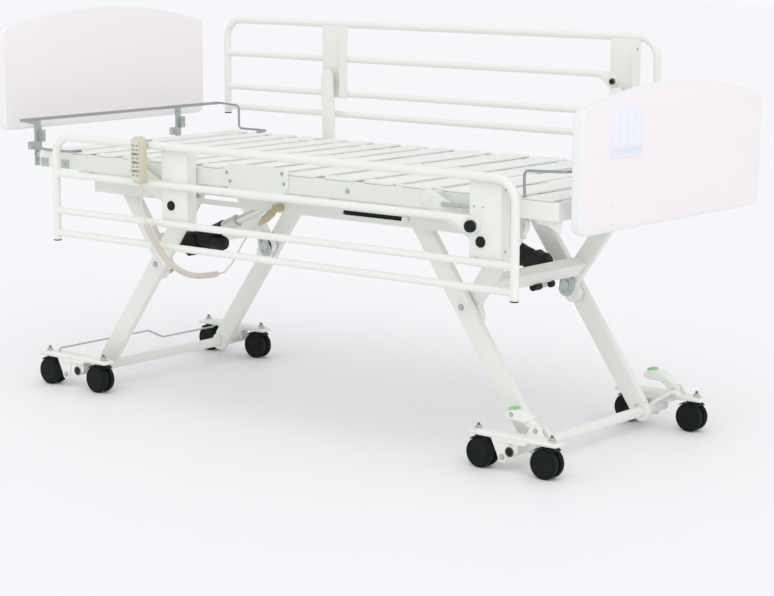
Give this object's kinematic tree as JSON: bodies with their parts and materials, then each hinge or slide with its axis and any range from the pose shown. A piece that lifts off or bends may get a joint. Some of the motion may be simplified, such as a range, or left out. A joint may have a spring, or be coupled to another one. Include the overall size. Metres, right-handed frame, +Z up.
{
  "type": "electric bed",
  "caption": "Height-adjustable care bed with a sectioned slat deck, arched end panels, swing-down side rails, scissor legs, castered bases and a corded handset.",
  "frame": {"origin": "on the floor under the middle of the bed's overall length and width", "axes": "+Z up, +X towards the foot end, -Y towards the side with the handset"},
  "size_m": [2.311, 1.0944, 1.233],
  "materials": {
    "frame_enamel": "white powder coat",
    "zinc": "bright zinc plate",
    "rod_steel": "ground steel rod",
    "wire_steel": "plated wire",
    "panel_board": "pale laminate on board",
    "pad_film": "pale blue keypad film",
    "housing_black": "black moulded plastic",
    "tyre_black": "black tread",
    "pedal_green": "green moulded plastic",
    "handset_tan": "tan moulded plastic",
    "key_tan": "pale tan keys",
    "cord_tan": "tan cord jacket",
    "plug_tan": "tan moulded plug"
  },
  "bodies": {
    "frame": {"main_frame": "frame_enamel", "deck_seat": "frame_enamel", "panel_head": "panel_board", "panel_foot": "panel_board", "bracket_head_near": "zinc", "bracket_head_far": "zinc", "bracket_foot_near": "zinc", "bracket_foot_far": "zinc", "control_pad": "pad_film", "control_box": "housing_black", "side_plate": "frame_enamel", "handset_cord": "cord_tan", "cord_plug": "plug_tan"},
    "back_section": {"deck_back": "frame_enamel", "retainer_head": "wire_steel"},
    "thigh_section": {"deck_thigh": "frame_enamel"},
    "foot_section": {"deck_foot": "frame_enamel", "retainer_foot": "wire_steel"},
    "arm_head": {"arm_head": "frame_enamel"},
    "legs_head": {"leg_head_near": "frame_enamel", "leg_head_far": "frame_enamel"},
    "base_head": {"base_head": "frame_enamel"},
    "motor_head": {"motor_head": "housing_black"},
    "ram_head": {"ram_head": "rod_steel"},
    "caster_head_near_left": {"caster_head_near_left": "housing_black"},
    "wheel_head_near_left": {"wheel_head_near_left": "tyre_black"},
    "caster_head_near_right": {"caster_head_near_right": "housing_black"},
    "wheel_head_near_right": {"wheel_head_near_right": "tyre_black"},
    "caster_head_far_left": {"caster_head_far_left": "housing_black"},
    "wheel_head_far_left": {"wheel_head_far_left": "tyre_black"},
    "caster_head_far_right": {"caster_head_far_right": "housing_black"},
    "wheel_head_far_right": {"wheel_head_far_right": "tyre_black"},
    "arm_foot": {"arm_foot": "frame_enamel"},
    "legs_foot": {"leg_foot_near": "frame_enamel", "leg_foot_far": "frame_enamel"},
    "base_foot": {"base_foot": "frame_enamel"},
    "motor_foot": {"motor_foot": "housing_black"},
    "ram_foot": {"ram_foot": "rod_steel"},
    "caster_foot_near_left": {"caster_foot_near_left": "housing_black"},
    "wheel_foot_near_left": {"wheel_foot_near_left": "tyre_black"},
    "caster_foot_near_right": {"caster_foot_near_right": "housing_black"},
    "wheel_foot_near_right": {"wheel_foot_near_right": "tyre_black"},
    "caster_foot_far_left": {"caster_foot_far_left": "housing_black"},
    "wheel_foot_far_left": {"wheel_foot_far_left": "tyre_black"},
    "caster_foot_far_right": {"caster_foot_far_right": "housing_black"},
    "wheel_foot_far_right": {"wheel_foot_far_right": "tyre_black"},
    "pedal_near": {"pedal_near": "pedal_green"},
    "pedal_far": {"pedal_far": "pedal_green"},
    "swing_near_left": {"swing_near_left": "frame_enamel"},
    "swing_near_right": {"swing_near_right": "frame_enamel"},
    "rail_near": {"rail_near": "frame_enamel", "handset": "handset_tan"},
    "knob_near": {"knob_near": "housing_black"},
    "swing_far_left": {"swing_far_left": "frame_enamel"},
    "swing_far_right": {"swing_far_right": "frame_enamel"},
    "rail_far": {"rail_far": "frame_enamel"},
    "knob_far": {"knob_far": "housing_black"},
    "key_1": {"key_1": "key_tan"},
    "key_2": {"key_2": "key_tan"},
    "key_3": {"key_3": "key_tan"}
  },
  "joints": [
    {"name": "back_tilt", "type": "hinge", "parent": "frame", "child": "back_section", "pos_m": [-0.166, 0.01715, 0.768], "axis": [0, 1, 0], "range_deg": [0, 60]},
    {"name": "thigh_tilt", "type": "hinge", "parent": "frame", "child": "thigh_section", "pos_m": [0.06, 0.01715, 0.768], "axis": [0, -1, 0], "range_deg": [0, 30]},
    {"name": "foot_fold", "type": "hinge", "parent": "thigh_section", "child": "foot_section", "pos_m": [0.36, 0.01715, 0.768], "axis": [0, -1, 0], "range_deg": [-42.6, 0]},
    {"name": "lift_head", "type": "hinge", "parent": "frame", "child": "arm_head", "pos_m": [-0.782, 0.01715, 0.675], "axis": [0, -1, 0], "range_deg": [0, 38]},
    {"name": "leg_turn_head", "type": "hinge", "parent": "arm_head", "child": "legs_head", "pos_m": [-0.6105, 0.01715, 0.43007], "axis": [0, -1, 0], "range_deg": [-76, 0]},
    {"name": "base_level_head", "type": "hinge", "parent": "legs_head", "child": "base_head", "pos_m": [-0.86804, 0.01715, 0.06227], "axis": [0, -1, 0], "range_deg": [0, 38]},
    {"name": "motor_turn_head", "type": "hinge", "parent": "arm_head", "child": "motor_head", "pos_m": [-0.59752, -0.16785, 0.47951], "axis": [0, -1, 0], "range_deg": [-56.5, 0]},
    {"name": "ram_stroke_head", "type": "slide", "parent": "motor_head", "child": "ram_head", "axis": [0.9207, 0, 0.3902], "range_m": [-0.1255, 0]},
    {"name": "swivel_head_near_left", "type": "hinge", "parent": "base_head", "child": "caster_head_near_left", "pos_m": [-1.02304, -0.36585, 0.11], "axis": [0, 0, 1], "continuous": true},
    {"name": "roll_head_near_left", "type": "hinge", "parent": "caster_head_near_left", "child": "wheel_head_near_left", "pos_m": [-1.00704, -0.36585, 0.044], "axis": [0, 1, 0], "continuous": true},
    {"name": "swivel_head_near_right", "type": "hinge", "parent": "base_head", "child": "caster_head_near_right", "pos_m": [-0.76904, -0.36585, 0.11], "axis": [0, 0, 1], "continuous": true},
    {"name": "roll_head_near_right", "type": "hinge", "parent": "caster_head_near_right", "child": "wheel_head_near_right", "pos_m": [-0.78504, -0.36585, 0.044], "axis": [0, 1, 0], "continuous": true},
    {"name": "swivel_head_far_left", "type": "hinge", "parent": "base_head", "child": "caster_head_far_left", "pos_m": [-1.02304, 0.40015, 0.11], "axis": [0, 0, 1], "continuous": true},
    {"name": "roll_head_far_left", "type": "hinge", "parent": "caster_head_far_left", "child": "wheel_head_far_left", "pos_m": [-1.00704, 0.40015, 0.044], "axis": [0, 1, 0], "continuous": true},
    {"name": "swivel_head_far_right", "type": "hinge", "parent": "base_head", "child": "caster_head_far_right", "pos_m": [-0.76904, 0.40015, 0.11], "axis": [0, 0, 1], "continuous": true},
    {"name": "roll_head_far_right", "type": "hinge", "parent": "caster_head_far_right", "child": "wheel_head_far_right", "pos_m": [-0.78504, 0.40015, 0.044], "axis": [0, 1, 0], "continuous": true},
    {"name": "lift_foot", "type": "hinge", "parent": "frame", "child": "arm_foot", "pos_m": [0.798, 0.01715, 0.675], "axis": [0, 1, 0], "range_deg": [0, 38]},
    {"name": "leg_turn_foot", "type": "hinge", "parent": "arm_foot", "child": "legs_foot", "pos_m": [0.6265, 0.01715, 0.43007], "axis": [0, 1, 0], "range_deg": [-76, 0]},
    {"name": "base_level_foot", "type": "hinge", "parent": "legs_foot", "child": "base_foot", "pos_m": [0.88404, 0.01715, 0.06227], "axis": [0, 1, 0], "range_deg": [0, 38]},
    {"name": "motor_turn_foot", "type": "hinge", "parent": "arm_foot", "child": "motor_foot", "pos_m": [0.61352, 0.20215, 0.47951], "axis": [0, 1, 0], "range_deg": [-56.5, 0]},
    {"name": "ram_stroke_foot", "type": "slide", "parent": "motor_foot", "child": "ram_foot", "axis": [-0.9207, 0, 0.3902], "range_m": [-0.1255, 0]},
    {"name": "swivel_foot_near_left", "type": "hinge", "parent": "base_foot", "child": "caster_foot_near_left", "pos_m": [0.75904, -0.36585, 0.11], "axis": [0, 0, 1], "continuous": true},
    {"name": "roll_foot_near_left", "type": "hinge", "parent": "caster_foot_near_left", "child": "wheel_foot_near_left", "pos_m": [0.77504, -0.36585, 0.044], "axis": [0, 1, 0], "continuous": true},
    {"name": "swivel_foot_near_right", "type": "hinge", "parent": "base_foot", "child": "caster_foot_near_right", "pos_m": [1.01304, -0.36585, 0.11], "axis": [0, 0, 1], "continuous": true},
    {"name": "roll_foot_near_right", "type": "hinge", "parent": "caster_foot_near_right", "child": "wheel_foot_near_right", "pos_m": [0.99704, -0.36585, 0.044], "axis": [0, 1, 0], "continuous": true},
    {"name": "swivel_foot_far_left", "type": "hinge", "parent": "base_foot", "child": "caster_foot_far_left", "pos_m": [0.75904, 0.40015, 0.11], "axis": [0, 0, 1], "continuous": true},
    {"name": "roll_foot_far_left", "type": "hinge", "parent": "caster_foot_far_left", "child": "wheel_foot_far_left", "pos_m": [0.77504, 0.40015, 0.044], "axis": [0, 1, 0], "continuous": true},
    {"name": "swivel_foot_far_right", "type": "hinge", "parent": "base_foot", "child": "caster_foot_far_right", "pos_m": [1.01304, 0.40015, 0.11], "axis": [0, 0, 1], "continuous": true},
    {"name": "roll_foot_far_right", "type": "hinge", "parent": "caster_foot_far_right", "child": "wheel_foot_far_right", "pos_m": [0.99704, 0.40015, 0.044], "axis": [0, 1, 0], "continuous": true},
    {"name": "pedal_press_near", "type": "hinge", "parent": "base_foot", "child": "pedal_near", "pos_m": [0.95104, -0.34485, 0.128], "axis": [0, -1, 0], "range_deg": [0, 20]},
    {"name": "pedal_press_far", "type": "hinge", "parent": "base_foot", "child": "pedal_far", "pos_m": [0.95104, 0.37915, 0.128], "axis": [0, -1, 0], "range_deg": [0, 20]},
    {"name": "rail_swing_near", "type": "hinge", "parent": "frame", "child": "swing_near_left", "pos_m": [-0.531, -0.45785, 0.767], "axis": [0, -1, 0], "range_deg": [0, 118.7]},
    {"name": "rail_level_near", "type": "hinge", "parent": "swing_near_left", "child": "rail_near", "pos_m": [-0.32838, -0.45785, 0.66509], "axis": [0, -1, 0], "range_deg": [-118.7, 0]},
    {"name": "rail_link_near", "type": "hinge", "parent": "frame", "child": "swing_near_right", "pos_m": [0.647, -0.45785, 0.767], "axis": [0, -1, 0], "range_deg": [0, 118.7]},
    {"name": "latch_pull_near", "type": "slide", "parent": "rail_near", "child": "knob_near", "axis": [0, -1, 0], "range_m": [0, 0.008], "stiffness_N_per_m": 600, "springref_m": -0.002},
    {"name": "rail_swing_far", "type": "hinge", "parent": "frame", "child": "swing_far_left", "pos_m": [-0.531, 0.49215, 0.767], "axis": [0, 1, 0], "range_deg": [0, 118.7]},
    {"name": "rail_level_far", "type": "hinge", "parent": "swing_far_left", "child": "rail_far", "pos_m": [-0.53892, 0.49215, 0.99366], "axis": [0, 1, 0], "range_deg": [-118.7, 0]},
    {"name": "rail_link_far", "type": "hinge", "parent": "frame", "child": "swing_far_right", "pos_m": [0.647, 0.49215, 0.767], "axis": [0, 1, 0], "range_deg": [0, 118.7]},
    {"name": "latch_pull_far", "type": "slide", "parent": "rail_far", "child": "knob_far", "axis": [0, 1, 0], "range_m": [0, 0.008], "stiffness_N_per_m": 600, "springref_m": -0.002},
    {"name": "key_press_1", "type": "slide", "parent": "rail_near", "child": "key_1", "axis": [0, 1, 0], "range_m": [0, 0.001], "stiffness_N_per_m": 500, "springref_m": -0.0006},
    {"name": "key_press_2", "type": "slide", "parent": "rail_near", "child": "key_2", "axis": [0, 1, 0], "range_m": [0, 0.001], "stiffness_N_per_m": 500, "springref_m": -0.0006},
    {"name": "key_press_3", "type": "slide", "parent": "rail_near", "child": "key_3", "axis": [0, 1, 0], "range_m": [0, 0.001], "stiffness_N_per_m": 500, "springref_m": -0.0006}
  ],
  "couplings": [
    {"joint": "foot_fold", "follows": "thigh_tilt", "ratio": -1.42},
    {"joint": "leg_turn_head", "follows": "lift_head", "ratio": -2},
    {"joint": "base_level_head", "follows": "lift_head", "ratio": 1},
    {"joint": "motor_turn_head", "follows": "lift_head", "ratio": -1.4834},
    {"joint": "ram_stroke_head", "follows": "lift_head", "m_per_rad": -0.18844},
    {"joint": "leg_turn_foot", "follows": "lift_foot", "ratio": -2},
    {"joint": "base_level_foot", "follows": "lift_foot", "ratio": 1},
    {"joint": "motor_turn_foot", "follows": "lift_foot", "ratio": -1.4834},
    {"joint": "ram_stroke_foot", "follows": "lift_foot", "m_per_rad": -0.18844},
    {"joint": "rail_level_near", "follows": "rail_swing_near", "ratio": -1},
    {"joint": "rail_link_near", "follows": "rail_swing_near", "ratio": 1},
    {"joint": "rail_level_far", "follows": "rail_swing_far", "ratio": -1},
    {"joint": "rail_link_far", "follows": "rail_swing_far", "ratio": 1}
  ]
}
